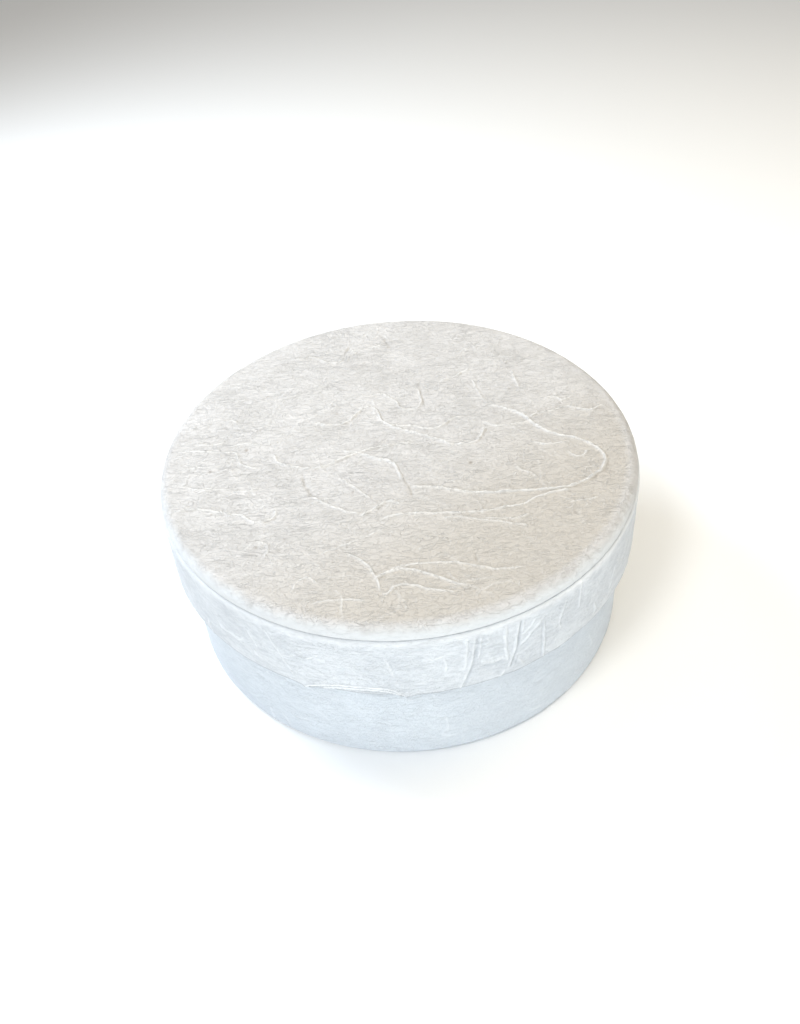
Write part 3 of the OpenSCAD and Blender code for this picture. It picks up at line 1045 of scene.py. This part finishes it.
trayWrap = {
    "columns": 1000,
    "rows": 100,
    "rimRound": 0.5,
    "footRound": 0.7,
    "swells": [(24.0, 0.09, 1, 1), (5.0, 0.045, 1, 1), (1.3, 0.028, 1, 1.2),
               (0.65, 0.0196, 1, 1.2)],
    "turnIn": 10.0,
    "turnUnder": 7,
    "slim": 0.9,
    "tall": 1.2,
    "seed": 41,
}
trayFolds = [
    (0.34, 0.10, [(-129.5, 4.6), (-129.3, 2.8), (-128.6, 1.2)]),
    (0.34, 0.10, [(-126, 5), (-124.6, 3.2), (-123.2, 1.4)]),
    (0.34, 0.10, [(-123, 6.4), (-121, 5.8), (-118.6, 6.2), (-117, 6.8)]),
    (0.32, 0.09, [(-85, 5.6), (-83, 4.6), (-80, 4.4)]),
    (0.32, 0.09, [(-84, 11.4), (-83.2, 9), (-83.4, 6)]),
    (0.32, 0.09, [(-41, 12), (-39.6, 9.6), (-38.4, 7)]),
    (0.32, 0.09, [(-62, 3.6), (-59, 2.8), (-56.4, 2.4)]),
]
trayCreases = [
    (0.24, 0.08, [(-123, 6.2), (-120, 5.4), (-117.4, 6)]),
]
trayHairs = [
    {"count": 1000, "length": (1.5, 6), "spread": 1.0, "curl": 0.25, "width": (0.18, 0.30),
     "rise": (0.012, 0.035)},
    {"count": 50, "length": (5, 12), "spread": 0.9, "curl": 0.22, "width": (0.24, 0.36),
     "rise": (0.03, 0.06)},
]


def buildTrayWrap(look):
    count = look["columns"]
    angles = ringAngles(count)
    t = paperThickness
    rimRound = look["rimRound"]
    footRound = look["footRound"]
    rim = corner((trayRadius - rimRound, rimHeight - rimRound), rimRound, 90, 0, 5)
    low = corner((trayRadius - footRound, t + footRound), footRound, 0, -90, 6)
    wall = [(trayRadius, z) for z in np.linspace(rimHeight - rimRound, t + footRound, look["rows"])]
    outer = rim[:-1] + wall + low[1:]
    normals = sectionNormals(outer)
    levels = np.repeat([z for _, z in outer], count)
    u = np.tile(angles * trayRadius, len(outer))
    height, marks = wallRelief(u, levels, look, trayFolds, trayCreases, trayHairs, trayRadius)
    height = height.reshape(len(outer), count)
    # pressed flat where the lid slides over it, and under the foot
    under = np.array([z for _, z in outer])
    height *= (0.35 + 0.65 * ease(skirtFoot - 1.0 - under, 0, 2.5))[:, None]
    height = np.clip(height, None, 0.12 + 0.3 * ease(skirtFoot - 2 - under, 0, 2)[:, None])
    height *= ease(under, t + 0.02, t + footRound)[:, None]
    points = [ring(radius + normals[k][0] * height[k], angles, level + normals[k][1] * height[k])
              for k, (radius, level) in enumerate(outer)]
    turned = trayWallRadius - look["turnUnder"]
    hidden = [(turned, t), (turned, 2 * t), (trayHoopRadius, 2 * t),
              (trayHoopRadius, rimHeight - t), (trayWallRadius, rimHeight - t),
              (trayWallRadius, rimHeight - look["turnIn"]),
              (trayWallRadius - t, rimHeight - look["turnIn"]),
              (trayWallRadius - t, rimHeight - 0.35), (trayWallRadius - t + 0.1, rimHeight - 0.1),
              (trayWallRadius - t + 0.35, rimHeight)]
    points += [ring(radius, angles, level) for radius, level in hidden]
    return addPiece("tray_wrap_paper", np.vstack(points), closedWall(count, len(points)),
                    "trayPaper", "tray", ["tray_wrap"], marks)


buildTrayWrap(trayWrap)


# The soap cake: turned, with a dished top, and a little uneven as it came from the mould

soapCake = {
    "columns": 300,
    "topRound": 2.5,
    "lowRound": 1.5,
    "rimWidth": 7.0,
    "dish": 0.8,
    "slope": 1.6,
    "dents": (5.0, 0.10),
    "grain": (1.1, 0.035),
    "seed": 61,
}


def buildSoap(look):
    low, high = nodeBox("soap_puck")
    radius = high[0]
    count = look["columns"]
    angles = ringAngles(count)
    topRound = look["topRound"]
    lowRound = look["lowRound"]
    dishRadius = radius - look["rimWidth"]
    dishFloor = dishRadius - look["slope"]
    spans = np.concatenate([np.linspace(0.6, dishFloor, 44),
                            np.linspace(dishFloor, dishRadius, 9)[1:],
                            np.linspace(dishRadius, radius - topRound, 8)[1:]])
    top = [(r, high[2] - look["dish"] * (1 - ease(r, dishFloor, dishRadius))) for r in spans]
    wall = [(radius, z) for z in np.linspace(high[2] - topRound, low[2] + lowRound, 30)]
    outer = (top[:-1] + corner((radius - topRound, high[2] - topRound), topRound, 90, 0, 9)
             + wall[1:-1] + corner((radius - lowRound, low[2] + lowRound), lowRound, 0, -90, 7))
    normals = sectionNormals(outer)
    run = lengthAlong(outer)
    dentCell, dent = look["dents"]
    grainCell, grain = look["grain"]
    points = []
    for k, (r, level) in enumerate(outer):
        # flat-map coordinates on top, round the wall below
        onTop = r < radius - 0.5
        u = r * np.cos(angles) if onTop else angles * radius
        v = r * np.sin(angles) if onTop else np.full(count, run[k])
        period = None if onTop else 2 * math.pi * radius
        height = -dent * np.abs(softNoise(u, v, dentCell, look["seed"], period))
        height -= grain * np.abs(softNoise(u, v, grainCell, look["seed"] + 1, period))
        height = height * float(ease(level, low[2], low[2] + 1.2))
        points.append(ring(r + normals[k][0] * height, angles, level + normals[k][1] * height))
    points.append(np.array([[0, 0, outer[0][1]], [0, 0, low[2]]]))
    points = np.vstack(points)
    faces = [tuple(reversed(f)) for f in ringFaces(0, count, len(outer))]
    last = (len(outer) - 1) * count
    middle = len(points) - 2
    faces += [(c, (c + 1) % count, middle) for c in range(count)]
    faces += [(last + (c + 1) % count, last + c, middle + 1) for c in range(count)]
    return addPiece("soap_cake", points, faces, "soap", "soap", ["soap_puck"])


soapPiece = buildSoap(soapCake)


# Waxed paper leaves, one under the soap and one over it

waxedLeaf = {
    "grid": 150,
    "crumples": ((15.0, 0.55), (6.5, 0.22), (2.6, 0.07)),    # cell and height of the creases
    "edgeLift": 0.5,
    "seed": 71,
}


# Creased like paper that was crushed and smoothed out again
def crumple(x, y, look, seed):
    height = np.zeros(len(x))
    for k, (cell, rise) in enumerate(look["crumples"]):
        turn = 0.7 + 1.1 * k
        u = x * math.cos(turn) - y * math.sin(turn)
        v = x * math.sin(turn) + y * math.cos(turn)
        height += rise * np.abs(softNoise(u, v, cell, seed + k))
    return height


def buildLeaf(name, node, body, looseFrom, look, seed):
    low, high = nodeBox(node)
    radius = high[0]
    x, y, faces, rim = discGrid(look["grid"])
    x = x * radius
    y = y * radius
    r = np.hypot(x, y)
    loose = ease(r, looseFrom, radius)
    lift = loose * (crumple(x, y, look, seed) + look["edgeLift"] * loose
                    * (0.5 + 0.5 * softNoise(x, y, 11.0, seed + 5)))
    thick = high[2] - low[2]
    upper = np.column_stack([x, y, low[2] + thick + lift])
    lower = np.column_stack([x, y, low[2] + lift])
    count = len(x)
    closing = [(a, a + count, b + count, b)
               for a, b in zip(rim.tolist(), np.roll(rim, -1).tolist())]
    under = [tuple(count + i for i in reversed(f)) for f in faces]
    leaf = addPiece(name, np.vstack([upper, lower]), faces + under + closing, "waxed", body,
                    [node])
    return leaf


buildLeaf("leaf_under_soap", "soap_under_leaf", "soap", 38.6, waxedLeaf,
          waxedLeaf["seed"])
buildLeaf("leaf_over_soap", "soap_cover_leaf", "cover_leaf", 2.0, waxedLeaf,
          waxedLeaf["seed"] + 20)


# Finishes of the pieces that keep their shape

plainFinishes = {
    "trayPaper": ["tray_bottom_sheet"],
    "board": ["tray_hoop", "tray_board", "lid_hoop", "lid_board"],
    "tape": ["tray_hoop_tape", "lid_hoop_tape"],
    "lining": ["tray_wall_lining", "tray_floor_lining", "lid_wall_lining", "lid_ceiling_lining"],
}
for finish, nodes in plainFinishes.items():
    for node in nodes:
        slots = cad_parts[node].data.materials
        slots.clear()
        slots.append(finishes[finish])
print("finishes given to", sum(map(len, plainFinishes.values())), "kept nodes")


# Floor

studioFloor = {"radius": 2600, "colour": (0.955, 0.96, 0.965)}


def addFloor(look):
    material, place, shader = startMaterial("studio_floor", {"Specular IOR Level": 0.1})
    tone = place.noise(0.004, 2.0).step(0.2, 0.8)
    colour = tone.mix([c * 0.99 for c in look["colour"]], look["colour"])
    feed(shader, colour=colour, rough=tone * 0.05 + 0.9)
    bpy.ops.mesh.primitive_circle_add(vertices=96, radius=look["radius"] * mm, fill_type="NGON")
    floor = bpy.context.object
    floor.name = "studio_floor"
    floor.location.z = -0.05 * mm
    floor.data.materials.append(material)


addFloor(studioFloor)
print("floor laid")
